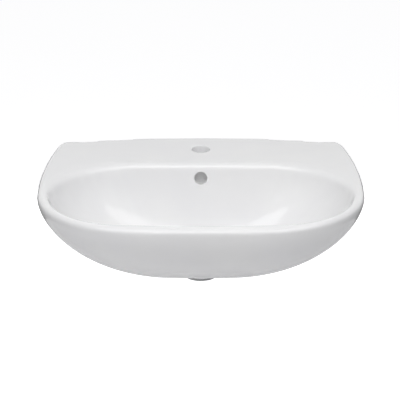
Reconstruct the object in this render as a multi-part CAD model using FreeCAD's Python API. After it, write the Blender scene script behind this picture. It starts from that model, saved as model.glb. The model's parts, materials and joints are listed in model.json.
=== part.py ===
import FreeCAD, Part
import math
import os
from collections import namedtuple
from FreeCAD import Vector

# Wall hung wash basin in glazed vitreous china, with the pair of wall fixings that carry it.
# Millimetres. X runs to the right as one stands at the basin, Y runs into the wall, Z is up.
# The wall is the plane y = 0. The origin is midway between the two wall fixings, on the wall.

# ---- overall size of the china -------------------------------------------------------------
OVERALL_WIDTH = 600.0
OVERALL_DEPTH = 480.0
RIM_ABOVE_FIXINGS = 70.0
UNDERSIDE_BELOW_RIM = 158.0
OUTLET_END_BELOW_RIM = 188.0
WALL_PLATE_BELOW_RIM = 112.0

# ---- plan of the rim, seen from above: tangent arcs from the wall round to the front ---------
WIDEST_FROM_WALL = 207.0
SIDE_RADIUS = 1140.0
FRONT_CORNER_RADIUS = 197.0
FRONT_RADIUS = 1925.0
WALL_CORNER_RADIUS = 40.0
WALL_CORNER_OVERRUN = 12.0
RIM_EDGE_RADIUS = 8.0

# ---- plan of the underside, where the body ends below ----------------------------------------
UNDERSIDE_HALF_WIDTH = 116.0
UNDERSIDE_FRONT_FROM_WALL = 284.0
UNDERSIDE_WIDEST_FROM_WALL = 227.0
UNDERSIDE_SIDE_RADIUS = 493.0
UNDERSIDE_CORNER_RADIUS = 92.0
UNDERSIDE_FRONT_RADIUS = 748.0

# ---- how full the sides and the front are between rim and underside --------------------------
FULLNESS = 1.6
FRONT_FULLNESS = 0.87
BODY_STATIONS = 7
EDGE_STATIONS = 3
CORNER_FACETS = 4

# ---- the bowl --------------------------------------------------------------------------------
DECK_DEPTH = 135.0
RIM_SIDE_WIDTH = 22.0
RIM_FRONT_WIDTH = 27.0
BOWL_DEPTH = 144.0
BOWL_EDGE_RADIUS = 9.0
BOWL_REAR_EDGE_WIDTH = 16.0
BOWL_WIDEST_FROM_WALL = 262.0
BOWL_SIDE_RADIUS = 275.0
BOWL_FRONT_CORNER_RADIUS = 148.0
BOWL_FRONT_RADIUS = 2080.0
BOWL_REAR_CORNER_RADIUS = 150.0
FLOOR_HALF_WIDTH = 107.0
FLOOR_REAR_FROM_WALL = 178.0
FLOOR_FRONT_FROM_WALL = 285.0
FLOOR_CORNER_RADIUS = 46.0
FLOOR_SIDE_RADIUS = 160.0
FLOOR_FRONT_RADIUS = 600.0

# ---- the deck and the walls of the china -----------------------------------------------------
DECK_CROWN = 10.0
DECK_CROWN_HALF_WIDTH = 258.0
DECK_BACK_EDGE_RADIUS = 4.0
DECK_THICKNESS = 14.0
CHINA_WALL = 13.0
WALL_PLATE_THICKNESS = 18.0

# ---- the open space behind the bowl ----------------------------------------------------------
SHOULDER_REACH = 60.0
SHOULDER_REACH_BELOW = 6.0
SPACE_STATIONS = 4
SKIRT_SAG = 16.0
SKIRT_END_FROM_WALL = 153.0
PIPE_NOTCH_WIDTH = 150.0
PIPE_NOTCH_TOP_BELOW_RIM = 82.0
PIPE_NOTCH_RADIUS = 20.0

# ---- tap hole and outlet ---------------------------------------------------------------------
TAP_HOLE_DIAMETER = 35.0
TAP_HOLE_FROM_WALL = 57.0
TAP_HOLE_LIP_RADIUS = 2.5
OUTLET_FROM_WALL = 237.0
OUTLET_BORE_DIAMETER = 46.0
OUTLET_SEAT_DIAMETER = 65.0
OUTLET_SEAT_DEPTH = 3.0
OUTLET_DISH_DIAMETER = 98.0
OUTLET_DISH_FALL = 3.0
OUTLET_BOSS_DIAMETER = 70.0
OUTLET_BOSS_FILLET = 14.0
OUTLET_BOSS_EDGE_RADIUS = 5.0

# ---- overflow hole and the channel from it down to the outlet --------------------------------
OVERFLOW_DIAMETER = 25.0
OVERFLOW_BELOW_RIM = 30.0
CHANNEL_WIDTH = 56.0
CHANNEL_GAP = 12.0
CHANNEL_WALL = 8.0
CHANNEL_TOP_BELOW_RIM = 16.0
CHANNEL_BACK_SLOPE = 9.0
CHANNEL_PORT_WIDTH = 24.0
CHANNEL_PORT_LENGTH = 20.0
CHANNEL_END_IN_BORE = 6.0
CHANNEL_BEND_RADIUS = 40.0
CHANNEL_PORT_BELOW_RIM = 167.0

# ---- wall fixings, one on each side ----------------------------------------------------------
FIXING_SPACING = 280.0
FIXING_HOLE_DIAMETER = 22.0
STUD_DIAMETER = 10.0
STUD_IN_WALL = 64.0
STUD_OUT_OF_WALL = 74.0
STUD_POINT_LENGTH = 12.0
STUD_CHAMFER = 1.0
STUD_DRIVE_ACROSS_FLATS = 6.0
STUD_DRIVE_LENGTH = 5.0
PLUG_DIAMETER = 14.0
PLUG_LENGTH = 70.0
PLUG_END_WALL = 3.0
PLUG_SLOT_WIDTH = 1.6
PLUG_SLOT_START = 24.0
PLUG_RING_COUNT = 4
PLUG_RING_PITCH = 9.0
PLUG_RING_DEPTH = 0.7
BUSH_SLEEVE_LENGTH = 15.0
BUSH_FLANGE_DIAMETER = 36.0
BUSH_FLANGE_THICKNESS = 4.0
BUSH_FLANGE_EDGE = 1.2
WASHER_DIAMETER = 30.0
WASHER_THICKNESS = 2.5
NUT_ACROSS_FLATS = 17.0
NUT_HEIGHT = 8.0
NUT_CHAMFER_ANGLE = 30.0

# ---- clearances ------------------------------------------------------------------------------
BUSH_IN_HOLE_CLEARANCE = 0.3
STUD_IN_BUSH_CLEARANCE = 0.3
STUD_IN_WASHER_CLEARANCE = 0.25
THREAD_CLEARANCE = 0.1
STUD_IN_PLUG_CLEARANCE = 0.1
CUT_OVERRUN = 5.0

Outline = namedtuple(
    "Outline",
    "half_width wide_y side_r front_corner_r front_y front_r rear_y rear_corner_r",
)

RIM_OUTLINE = Outline(
    half_width=OVERALL_WIDTH / 2,
    wide_y=-WIDEST_FROM_WALL,
    side_r=SIDE_RADIUS,
    front_corner_r=FRONT_CORNER_RADIUS,
    front_y=-OVERALL_DEPTH,
    front_r=FRONT_RADIUS,
    rear_y=WALL_CORNER_OVERRUN,
    rear_corner_r=WALL_CORNER_RADIUS,
)
UNDERSIDE_OUTLINE = Outline(
    half_width=UNDERSIDE_HALF_WIDTH,
    wide_y=-UNDERSIDE_WIDEST_FROM_WALL,
    side_r=UNDERSIDE_SIDE_RADIUS,
    front_corner_r=UNDERSIDE_CORNER_RADIUS,
    front_y=-UNDERSIDE_FRONT_FROM_WALL,
    front_r=UNDERSIDE_FRONT_RADIUS,
    rear_y=WALL_CORNER_OVERRUN,
    rear_corner_r=WALL_CORNER_RADIUS,
)
BOWL_OUTLINE = Outline(
    half_width=OVERALL_WIDTH / 2 - RIM_SIDE_WIDTH,
    wide_y=-BOWL_WIDEST_FROM_WALL,
    side_r=BOWL_SIDE_RADIUS,
    front_corner_r=BOWL_FRONT_CORNER_RADIUS,
    front_y=-OVERALL_DEPTH + RIM_FRONT_WIDTH,
    front_r=BOWL_FRONT_RADIUS,
    rear_y=-DECK_DEPTH,
    rear_corner_r=BOWL_REAR_CORNER_RADIUS,
)
FLOOR_OUTLINE = Outline(
    half_width=FLOOR_HALF_WIDTH,
    wide_y=-(FLOOR_REAR_FROM_WALL + FLOOR_FRONT_FROM_WALL) / 2,
    side_r=FLOOR_SIDE_RADIUS,
    front_corner_r=FLOOR_CORNER_RADIUS,
    front_y=-FLOOR_FRONT_FROM_WALL,
    front_r=FLOOR_FRONT_RADIUS,
    rear_y=-FLOOR_REAR_FROM_WALL,
    rear_corner_r=FLOOR_CORNER_RADIUS,
)


# ---- small tools -----------------------------------------------------------------------------

def at_depth(depth):
    """Height of a level that lies a given depth below the rim."""
    return RIM_ABOVE_FIXINGS - depth


def mirrored(point):
    return Vector(-point.x, point.y, point.z)


def polygon_face(points):
    return Part.Face(Part.makePolygon(points + points[:1]))


def rod(diameter, start_y, end_y, x=0.0, z=0.0):
    """Round bar along Y."""
    low, high = sorted((start_y, end_y))
    return Part.makeCylinder(diameter / 2, high - low, Vector(x, low, z), Vector(0, 1, 0))


def line(start, end):
    return Part.LineSegment(start, end).toShape()


def arc(centre, radius, start, end):
    """Arc between two points of a circle, the short way round."""
    middle = (start + end) * 0.5 - centre
    middle = centre + middle * (radius / middle.Length)
    return Part.Arc(start, middle, end).toShape()


def round_corner(centre, radius, first_angle, last_angle):
    """Points along a rounded corner of a turned profile, which lies in the YZ plane."""
    points = []
    for index in range(CORNER_FACETS + 1):
        angle = math.radians(first_angle + (last_angle - first_angle) * index / CORNER_FACETS)
        points.append(centre + Vector(0, math.cos(angle), math.sin(angle)) * radius)
    return points


# ---- outlines of the china, level by level ---------------------------------------------------

def tangent_centre(centre_a, reach_a, centre_b, reach_b):
    """Right-hand one of the two points at given distances from two centres."""
    across = centre_b - centre_a
    gap = across.Length
    along = (reach_a**2 - reach_b**2 + gap**2) / (2 * gap)
    aside = math.sqrt(reach_a**2 - along**2)
    unit = across / gap
    foot = centre_a + unit * along
    side = Vector(unit.y, -unit.x, 0) * aside
    return max(foot + side, foot - side, key=lambda point: point.x)


def side_centre_of(shape):
    return Vector(shape.half_width - shape.side_r, shape.wide_y, 0)


def half_width_at(shape, y):
    """Half width of an outline's side arc at a distance y from the wall."""
    centre = side_centre_of(shape)
    return centre.x + math.sqrt(shape.side_r**2 - (y - centre.y) ** 2)


def rear_corner_centre(shape):
    """Centre of the arc between the rear line and the side arc."""
    centre = side_centre_of(shape)
    y = shape.rear_y - shape.rear_corner_r
    reach = shape.side_r - shape.rear_corner_r
    return Vector(centre.x + math.sqrt(reach**2 - (y - centre.y) ** 2), y, 0)


def outline_wire(shape, depth):
    """Closed outline of tangent arcs at a level: rear line, corners, sides and front."""
    side_centre = side_centre_of(shape)
    front_centre = Vector(0, shape.front_y + shape.front_r, 0)
    corner_r = shape.front_corner_r
    corner = tangent_centre(
        side_centre, shape.side_r - corner_r, front_centre, shape.front_r - corner_r)
    rear_r = shape.rear_corner_r
    rear = rear_corner_centre(shape)
    rear_point = Vector(rear.x, shape.rear_y, 0)
    side_start = rear + (rear - side_centre).normalize() * rear_r
    side_end = corner + (corner - side_centre).normalize() * corner_r
    front_point = corner + (corner - front_centre).normalize() * corner_r
    front_middle = Vector(0, shape.front_y, 0)
    right = [
        (rear, rear_r, rear_point, side_start),
        (side_centre, shape.side_r, side_start, side_end),
        (corner, corner_r, side_end, front_point),
    ]
    edges = [line(mirrored(rear_point), rear_point)]
    for centre, radius, start, end in right:
        edges.append(arc(centre, radius, start, end))
    edges.append(Part.Arc(front_point, front_middle, mirrored(front_point)).toShape())
    for centre, radius, start, end in reversed(right):
        edges.append(arc(mirrored(centre), radius, mirrored(end), mirrored(start)))
    wire = Part.Wire(edges)
    wire.translate(Vector(0, 0, at_depth(depth)))
    return wire


def between(low, high, share):
    """Outline part of the way out from a low one to a high one; the front fills out sooner."""
    mixed = Outline(*[a + (b - a) * share for a, b in zip(low, high)])
    front_y = low.front_y + (high.front_y - low.front_y) * share**FRONT_FULLNESS
    return mixed._replace(front_y=front_y)


def share_at(depth, top_depth, bottom_depth):
    """How far out a full rounded side stands at a depth: 1 at its top, 0 at its bottom."""
    drop = (depth - top_depth) / (bottom_depth - top_depth)
    drop = min(max(drop, 0.0), 1.0)
    return (1 - drop**FULLNESS) ** (1 / FULLNESS)


def body_outline(depth):
    share = share_at(depth, RIM_EDGE_RADIUS, UNDERSIDE_BELOW_RIM)
    return between(UNDERSIDE_OUTLINE, RIM_OUTLINE, share)


def bowl_outline(depth):
    share = share_at(depth, BOWL_EDGE_RADIUS, BOWL_DEPTH)
    return between(FLOOR_OUTLINE, BOWL_OUTLINE, share)


def rounded_depths(top_depth, bottom_depth):
    """Depths that follow a full rounded side evenly, from the foot of its edge to the bottom."""
    depths = []
    for index in range(BODY_STATIONS + 1):
        angle = math.pi / 2 * index / BODY_STATIONS
        drop = math.sin(angle) ** (2 / FULLNESS)
        depths.append(top_depth + (bottom_depth - top_depth) * drop)
    return depths


def grown(shape, amount):
    """The same outline with every edge moved out."""
    return Outline(
        half_width=shape.half_width + amount,
        wide_y=shape.wide_y,
        side_r=shape.side_r + amount,
        front_corner_r=shape.front_corner_r + amount,
        front_y=shape.front_y - amount,
        front_r=shape.front_r + amount,
        rear_y=shape.rear_y + amount,
        rear_corner_r=shape.rear_corner_r + amount,
    )


def rounded_edge(shape, radius, outward, rear_width):
    """Solid of a rounded edge at the rim, from the rim's plane down to the edge's foot.

    The edge rolls in from the outline, or out from it where outward is 1, and rear_width is how
    wide it is along the rear line.
    """
    wires = []
    for index in range(EDGE_STATIONS + 1):
        angle = math.pi / 2 * index / EDGE_STATIONS
        depth = radius * (1 - math.cos(angle))
        roll = 1 - math.sin(angle)
        level = grown(shape, outward * radius * roll)
        rear_y = shape.rear_y + outward * rear_width * roll
        wires.append(outline_wire(level._replace(rear_y=rear_y), depth))
    return Part.makeLoft(wires, True, True)


def beyond_wall():
    """Everything on the far side of the wall plane."""
    size = OVERALL_WIDTH + 2 * CUT_OVERRUN
    corner = Vector(-size / 2, 0, -size / 2)
    return Part.makeBox(size, WALL_CORNER_OVERRUN + CUT_OVERRUN, size, corner)


# ---- the china -------------------------------------------------------------------------------

def full_body():
    """The china before it is hollowed: full sides under a rounded rim edge."""
    depths = rounded_depths(RIM_EDGE_RADIUS, UNDERSIDE_BELOW_RIM)
    sides = Part.makeLoft([outline_wire(body_outline(d), d) for d in depths], True, True)
    edge = rounded_edge(RIM_OUTLINE, RIM_EDGE_RADIUS, -1, 0.0)
    return sides.fuse(edge).cut(beyond_wall())


def bowl_hollow():
    """The hollow of the bowl: a rounded edge, then walls that drop and curve in to the floor."""
    depths = rounded_depths(BOWL_EDGE_RADIUS, BOWL_DEPTH)
    walls = Part.makeLoft([outline_wire(bowl_outline(d), d) for d in depths], True, True)
    return walls.fuse(rounded_edge(BOWL_OUTLINE, BOWL_EDGE_RADIUS, 1, BOWL_REAR_EDGE_WIDTH))


def deck_crown():
    """The gentle arch of the deck: highest at the middle of the wall edge, nothing at the ends."""
    arch_r = (DECK_CROWN_HALF_WIDTH**2 + DECK_CROWN**2) / (2 * DECK_CROWN)
    top = at_depth(-DECK_CROWN)
    seat = at_depth(RIM_EDGE_RADIUS / 2)
    toe_y = -DECK_DEPTH + BOWL_REAR_EDGE_WIDTH + 1
    edge_r = DECK_BACK_EDGE_RADIUS
    back_centre = Vector(0, -edge_r, top - edge_r)
    top_end = Vector(0, -edge_r, top)
    back_start = Vector(0, 0, top - edge_r)
    profile = [
        line(Vector(0, toe_y, at_depth(0)), top_end),
        arc(back_centre, edge_r, top_end, back_start),
        line(back_start, Vector(0, 0, seat)),
        line(Vector(0, 0, seat), Vector(0, toe_y, seat)),
        line(Vector(0, toe_y, seat), Vector(0, toe_y, at_depth(0))),
    ]
    swing = math.degrees(math.asin(DECK_CROWN_HALF_WIDTH / arch_r))
    axis_point = Vector(0, 0, top - arch_r)
    face = Part.Face(Part.Wire(profile))
    face.rotate(axis_point, Vector(0, 1, 0), -swing)
    arch = face.revolve(axis_point, Vector(0, 1, 0), 2 * swing)
    land = outline_wire(grown(RIM_OUTLINE, -RIM_EDGE_RADIUS), RIM_EDGE_RADIUS / 2)
    limits = Part.Face(land).extrude(Vector(0, 0, RIM_EDGE_RADIUS + DECK_CROWN))
    return arch.common(limits)


def space_wire(depth):
    """Outline of the open space behind the bowl at a level, between skirts, wall plate and bowl."""
    skirt = body_outline(depth)
    bowl = grown(bowl_outline(depth * BOWL_DEPTH / UNDERSIDE_BELOW_RIM), CHINA_WALL)
    back_y = -WALL_PLATE_THICKNESS
    share = depth / UNDERSIDE_BELOW_RIM
    reach = SHOULDER_REACH + (SHOULDER_REACH_BELOW - SHOULDER_REACH) * share
    shoulder_y = bowl.rear_y - reach
    back = Vector(half_width_at(skirt, back_y) - CHINA_WALL, back_y, 0)
    shoulder = Vector(half_width_at(skirt, shoulder_y) - CHINA_WALL, shoulder_y, 0)
    centre = rear_corner_centre(bowl)
    across = math.sqrt(bowl.rear_corner_r**2 - (shoulder_y - centre.y) ** 2)
    inner = Vector(centre.x + across, shoulder_y, 0)
    middle = Vector(centre.x, bowl.rear_y, 0)
    edges = [
        line(mirrored(back), back),
        line(back, shoulder),
        line(shoulder, inner),
        arc(centre, bowl.rear_corner_r, inner, middle),
        line(middle, mirrored(middle)),
        arc(mirrored(centre), bowl.rear_corner_r, mirrored(middle), mirrored(inner)),
        line(mirrored(inner), mirrored(shoulder)),
        line(mirrored(shoulder), mirrored(back)),
    ]
    wire = Part.Wire(edges)
    wire.translate(Vector(0, 0, at_depth(depth)))
    return wire


def rear_space():
    """The space behind the bowl, open below, where hands reach the fixings and the tap's nut."""
    step = (UNDERSIDE_BELOW_RIM - DECK_THICKNESS) / SPACE_STATIONS
    wires = [space_wire(DECK_THICKNESS + step * index) for index in range(SPACE_STATIONS + 1)]
    below = wires[-1].copy()
    below.translate(Vector(0, 0, -CUT_OVERRUN))
    return Part.makeLoft(wires + [below], True, True)


def below_skirts():
    """What is cut away below the wall plate and skirts, up to the back of the bowl."""
    plate_end = Vector(0, 0, at_depth(WALL_PLATE_BELOW_RIM))
    plate_front = Vector(0, -WALL_PLATE_THICKNESS, plate_end.z)
    bowl_end = Vector(0, -SKIRT_END_FROM_WALL, at_depth(UNDERSIDE_BELOW_RIM))
    middle = (plate_front + bowl_end) * 0.5 + Vector(0, 0, SKIRT_SAG)
    bottom = at_depth(UNDERSIDE_BELOW_RIM + CUT_OVERRUN)
    overrun = Vector(0, CUT_OVERRUN, 0)
    corners = [plate_end + overrun, Vector(0, CUT_OVERRUN, bottom), Vector(0, bowl_end.y, bottom)]
    profile = [
        line(corners[0], plate_front),
        Part.Arc(plate_front, middle, bowl_end).toShape(),
        line(bowl_end, corners[2]),
        line(corners[2], corners[1]),
        line(corners[1], corners[0]),
    ]
    face = Part.Face(Part.Wire(profile))
    face.translate(Vector(-OVERALL_WIDTH / 2, 0, 0))
    return face.extrude(Vector(OVERALL_WIDTH, 0, 0))


def pipe_notch():
    """Arched notch in the middle of the wall plate, for the pipes that come out of the wall."""
    top = at_depth(PIPE_NOTCH_TOP_BELOW_RIM)
    height = WALL_PLATE_BELOW_RIM - PIPE_NOTCH_TOP_BELOW_RIM + CUT_OVERRUN
    depth = WALL_PLATE_THICKNESS + 2 * CUT_OVERRUN
    corner = Vector(-PIPE_NOTCH_WIDTH / 2, -depth + CUT_OVERRUN, top - height)
    block = Part.makeBox(PIPE_NOTCH_WIDTH, depth, height, corner)
    upright = [e for e in block.Edges if e.BoundBox.YLength > depth / 2 and e.BoundBox.ZMax > top - 1]
    return block.makeFillet(PIPE_NOTCH_RADIUS, upright)


def channel_path(start_depth):
    """Middle line of the overflow channel: down the back of the bowl, then on to the outlet."""
    half = CHANNEL_GAP / 2
    start_y = -DECK_DEPTH + CHINA_WALL + half
    start = Vector(0, start_y, at_depth(CHANNEL_TOP_BELOW_RIM))
    slope = math.radians(CHANNEL_BACK_SLOPE)
    down = Vector(0, -math.sin(slope), -math.cos(slope))
    port_z = at_depth(CHANNEL_PORT_BELOW_RIM)
    meeting = start + down * ((start.z - port_z) / -down.z)
    turn = math.pi / 2 - slope
    reach = CHANNEL_BEND_RADIUS * math.tan(turn / 2)
    bend_start = meeting - down * reach
    bend_end = meeting + Vector(0, -reach, 0)
    centre = bend_end + Vector(0, 0, CHANNEL_BEND_RADIUS)
    port = Vector(0, -OUTLET_FROM_WALL + OUTLET_BORE_DIAMETER / 2 - CHANNEL_END_IN_BORE, port_z)
    start = start + down * ((start.z - at_depth(start_depth)) / -down.z)
    return start, bend_start, centre, bend_end, port, down


def duct(width, thickness, start_depth, end_short=0.0):
    """Flat duct of a given width and thickness along the overflow channel's middle line."""
    start, bend_start, centre, bend_end, port, down = channel_path(start_depth)
    port = port + Vector(0, end_short, 0)
    half = thickness / 2
    aside = Vector(0, -down.z, down.y) * half
    above = Vector(0, 0, half)
    outer_r = CHANNEL_BEND_RADIUS + half
    inner_r = CHANNEL_BEND_RADIUS - half
    profile = [
        line(start + aside, bend_start + aside),
        arc(centre, outer_r, bend_start + aside, bend_end - above),
        line(bend_end - above, port - above),
        line(port - above, port + above),
        line(port + above, bend_end + above),
        arc(centre, inner_r, bend_end + above, bend_start - aside),
        line(bend_start - aside, start - aside),
        line(start - aside, start + aside),
    ]
    face = Part.Face(Part.Wire(profile))
    face.translate(Vector(-width / 2, 0, 0))
    return face.extrude(Vector(width, 0, 0))


def with_overflow(body):
    """Adds the overflow channel's housing behind the bowl, then opens the channel and its hole."""
    housing = duct(
        CHANNEL_WIDTH + 2 * CHANNEL_WALL,
        CHANNEL_GAP + 2 * CHANNEL_WALL,
        DECK_THICKNESS / 2,
        CHANNEL_END_IN_BORE + (OUTLET_BOSS_DIAMETER - OUTLET_BORE_DIAMETER) / 4,
    )
    short = CHANNEL_END_IN_BORE + CHANNEL_PORT_LENGTH
    channel = duct(CHANNEL_WIDTH, CHANNEL_GAP, CHANNEL_TOP_BELOW_RIM, short)
    port_end = channel_path(CHANNEL_TOP_BELOW_RIM)[4]
    corner = port_end - Vector(CHANNEL_PORT_WIDTH / 2, 0, CHANNEL_GAP / 2)
    port = Part.makeBox(CHANNEL_PORT_WIDTH, short + 1, CHANNEL_GAP, corner)
    channel_y = channel_path(OVERFLOW_BELOW_RIM)[0].y
    hole = rod(
        OVERFLOW_DIAMETER,
        channel_y,
        channel_y - 2 * CHINA_WALL - CHANNEL_GAP,
        z=at_depth(OVERFLOW_BELOW_RIM),
    )
    return body.fuse(housing), [channel, port, hole]


def outlet_boss():
    """Turned boss under the bowl, with a soft neck above and a rounded edge below."""
    centre_y = -OUTLET_FROM_WALL
    boss_r = OUTLET_BOSS_DIAMETER / 2
    top = at_depth((BOWL_DEPTH + UNDERSIDE_BELOW_RIM) / 2)
    neck = at_depth(UNDERSIDE_BELOW_RIM - 0.5)
    end = at_depth(OUTLET_END_BELOW_RIM)
    fillet = OUTLET_BOSS_FILLET
    edge = OUTLET_BOSS_EDGE_RADIUS

    def spot(radius, z):
        return Vector(0, centre_y + radius, z)

    corners = [spot(0, end), spot(0, top), spot(boss_r + fillet, top)]
    corners += round_corner(spot(boss_r + fillet, neck - fillet), fillet, 90, 180)
    corners += round_corner(spot(boss_r - edge, end + edge), edge, 0, -90)
    return polygon_face(corners).revolve(corners[0], Vector(0, 0, 1), 360)


def outlet_opening():
    """Dish in the floor, seat for the waste's flange and the bore through the boss."""
    centre_y = -OUTLET_FROM_WALL
    floor = at_depth(BOWL_DEPTH)
    seat_top = floor - OUTLET_DISH_FALL
    seat = seat_top - OUTLET_SEAT_DEPTH
    end = at_depth(OUTLET_END_BELOW_RIM + CUT_OVERRUN)

    def spot(radius, z):
        return Vector(0, centre_y + radius, z)

    dish_r = OUTLET_DISH_DIAMETER / 2
    seat_r = OUTLET_SEAT_DIAMETER / 2
    bore_r = OUTLET_BORE_DIAMETER / 2
    corners = [
        spot(0, end),
        spot(bore_r, end),
        spot(bore_r, seat),
        spot(seat_r, seat),
        spot(seat_r, seat_top),
        spot(dish_r, floor),
        spot(dish_r, floor + OUTLET_DISH_FALL),
        spot(0, floor + OUTLET_DISH_FALL),
    ]
    return polygon_face(corners).revolve(corners[0], Vector(0, 0, 1), 360)


def tap_hole():
    """Hole through the deck with a rounded lip at its top."""
    hole_r = TAP_HOLE_DIAMETER / 2
    lip = TAP_HOLE_LIP_RADIUS
    arch_height = DECK_CROWN * (1 - TAP_HOLE_FROM_WALL / (DECK_DEPTH - BOWL_REAR_EDGE_WIDTH))
    surface = at_depth(-arch_height)
    bottom = at_depth(DECK_THICKNESS + CUT_OVERRUN)
    over = surface + DECK_CROWN

    def spot(radius, z):
        return Vector(0, -TAP_HOLE_FROM_WALL + radius, z)

    corners = [spot(0, bottom), spot(hole_r, bottom)]
    corners += round_corner(spot(hole_r + lip, surface - lip), lip, 180, 90)
    corners += [spot(hole_r + lip, over), spot(0, over)]
    return polygon_face(corners).revolve(corners[0], Vector(0, 0, 1), 360)


def fixing_x(side):
    return side * FIXING_SPACING / 2


def basin_body():
    """The one-piece china."""
    body = full_body().cut(bowl_hollow())
    body = body.fuse(deck_crown())
    body = body.cut(rear_space())
    body = body.cut(below_skirts())
    body = body.cut(pipe_notch())
    body, openings = with_overflow(body)
    body = body.fuse(outlet_boss())
    openings += [outlet_opening(), tap_hole()]
    for side in (-1, 1):
        openings.append(rod(
            FIXING_HOLE_DIAMETER, CUT_OVERRUN, -WALL_PLATE_THICKNESS - CUT_OVERRUN, fixing_x(side)))
    for opening in openings:
        body = body.cut(opening)
    return body


# ---- wall fixings ----------------------------------------------------------------------------

def wall_plug(x):
    """Nylon plug in the wall: ringed outside, slotted crosswise so that it spreads on the screw."""
    plug = rod(PLUG_DIAMETER, 0, PLUG_LENGTH, x)
    bore = STUD_DIAMETER + 2 * STUD_IN_PLUG_CLEARANCE
    plug = plug.cut(rod(bore, -CUT_OVERRUN, PLUG_LENGTH - PLUG_END_WALL, x))
    for index in range(PLUG_RING_COUNT):
        start = PLUG_SLOT_START + PLUG_RING_PITCH * (index + 0.5)
        groove = rod(PLUG_DIAMETER + 2, start, start + PLUG_RING_PITCH / 3, x)
        plug = plug.cut(groove.cut(rod(PLUG_DIAMETER - 2 * PLUG_RING_DEPTH, start, start + PLUG_RING_PITCH, x)))
    length = PLUG_LENGTH - PLUG_SLOT_START - 2 * PLUG_END_WALL
    half = PLUG_SLOT_WIDTH / 2
    wide = PLUG_DIAMETER
    flat_slot = Part.makeBox(wide, length, 2 * half, Vector(x - wide / 2, PLUG_SLOT_START, -half))
    return plug.cut(flat_slot)


def wall_stud(x):
    """Hanger bolt: screw point in the plug, machine thread outside, hexagon stub to turn it by."""
    radius = STUD_DIAMETER / 2

    def spot(across, y):
        return Vector(x + across, y, 0)

    tip = STUD_IN_WALL
    end = -STUD_OUT_OF_WALL
    corners = [
        spot(0, end),
        spot(radius - STUD_CHAMFER, end),
        spot(radius, end + STUD_CHAMFER),
        spot(radius, tip - STUD_POINT_LENGTH),
        spot(STUD_CHAMFER / 2, tip),
        spot(0, tip),
    ]
    stud = polygon_face(corners).revolve(corners[0], Vector(0, 1, 0), 360)
    return stud.fuse(hexagon_bar(STUD_DRIVE_ACROSS_FLATS, x, end - STUD_DRIVE_LENGTH, end))


def hexagon_bar(across_flats, x, start_y, end_y):
    """Hexagonal bar along Y with two flats level."""
    corner_r = across_flats / math.sqrt(3)
    corners = []
    for index in range(6):
        angle = math.pi / 3 * index
        corners.append(Vector(x + corner_r * math.cos(angle), start_y, corner_r * math.sin(angle)))
    return polygon_face(corners).extrude(Vector(0, end_y - start_y, 0))


def flanged_bush(x):
    """Nylon bush: a sleeve in the china's hole and a flange against the wall plate."""
    seat = -WALL_PLATE_THICKNESS
    sleeve_d = FIXING_HOLE_DIAMETER - 2 * BUSH_IN_HOLE_CLEARANCE
    bore_d = STUD_DIAMETER + 2 * STUD_IN_BUSH_CLEARANCE
    flange_r = BUSH_FLANGE_DIAMETER / 2
    front = seat - BUSH_FLANGE_THICKNESS

    def spot(radius, y):
        return Vector(x + radius, y, 0)

    corners = [
        spot(bore_d / 2, seat + BUSH_SLEEVE_LENGTH),
        spot(sleeve_d / 2, seat + BUSH_SLEEVE_LENGTH),
        spot(sleeve_d / 2, seat),
        spot(flange_r, seat),
        spot(flange_r, front + BUSH_FLANGE_EDGE),
        spot(flange_r - BUSH_FLANGE_EDGE, front),
        spot(bore_d / 2, front),
    ]
    return polygon_face(corners).revolve(Vector(x, 0, 0), Vector(0, 1, 0), 360)


def steel_washer(x):
    """Flat washer on the bush's flange."""
    seat = -WALL_PLATE_THICKNESS - BUSH_FLANGE_THICKNESS
    front = seat - WASHER_THICKNESS
    disc = rod(WASHER_DIAMETER, front, seat, x)
    bore = STUD_DIAMETER + 2 * STUD_IN_WASHER_CLEARANCE
    return disc.cut(rod(bore, front - CUT_OVERRUN, seat + CUT_OVERRUN, x))


def hex_nut(x):
    """Hexagon nut on the stud, its corners turned off at both ends."""
    seat = -WALL_PLATE_THICKNESS - BUSH_FLANGE_THICKNESS - WASHER_THICKNESS
    front = seat - NUT_HEIGHT
    corner_r = NUT_ACROSS_FLATS / math.sqrt(3)
    face_r = NUT_ACROSS_FLATS / 2
    fall = (corner_r - face_r) * math.tan(math.radians(NUT_CHAMFER_ANGLE))

    def spot(radius, y):
        return Vector(x + radius, y, 0)

    corners = [
        spot(0, front),
        spot(face_r, front),
        spot(corner_r, front + fall),
        spot(corner_r, seat - fall),
        spot(face_r, seat),
        spot(0, seat),
    ]
    barrel = polygon_face(corners).revolve(Vector(x, 0, 0), Vector(0, 1, 0), 360)
    nut = hexagon_bar(NUT_ACROSS_FLATS, x, front, seat).common(barrel)
    bore = STUD_DIAMETER + 2 * THREAD_CLEARANCE
    return nut.cut(rod(bore, front - CUT_OVERRUN, seat + CUT_OVERRUN, x))


# ---- the whole ------------------------------------------------------------------------------

def main():
    parts = {"basin_body": basin_body()}
    pieces = {
        "wall_plug": wall_plug,
        "wall_stud": wall_stud,
        "flanged_bush": flanged_bush,
        "steel_washer": steel_washer,
        "hex_nut": hex_nut,
    }
    for side, side_name in ((-1, "left"), (1, "right")):
        for name, make in pieces.items():
            parts[f"{side_name}_{name}"] = make(fixing_x(side))
    os.makedirs("parts", exist_ok=True)
    for name, shape in parts.items():
        shape.exportStep(f"parts/{name}.step")
        print(f"{name}: {shape.Volume / 1000:.1f} cm3, {len(shape.Solids)} solid")


main()
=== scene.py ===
# %% [markdown]
# # A wall hung wash basin in white glazed china
# The basin is one hollow casting of vitreous china: deck, bowl, full rounded sides, the channel for
# the overflow and the boss for the outlet are poured, fired and glazed together. It hangs on two
# hanger bolts. This notebook loads the measured frame, shapes the china as one skin of rings, opens
# it behind and below, and softens every edge as glaze does. Then it makes the fixings with their
# threads, the finishes, the light and the camera.

# %% The frame
import json
import math
from collections import namedtuple

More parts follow.
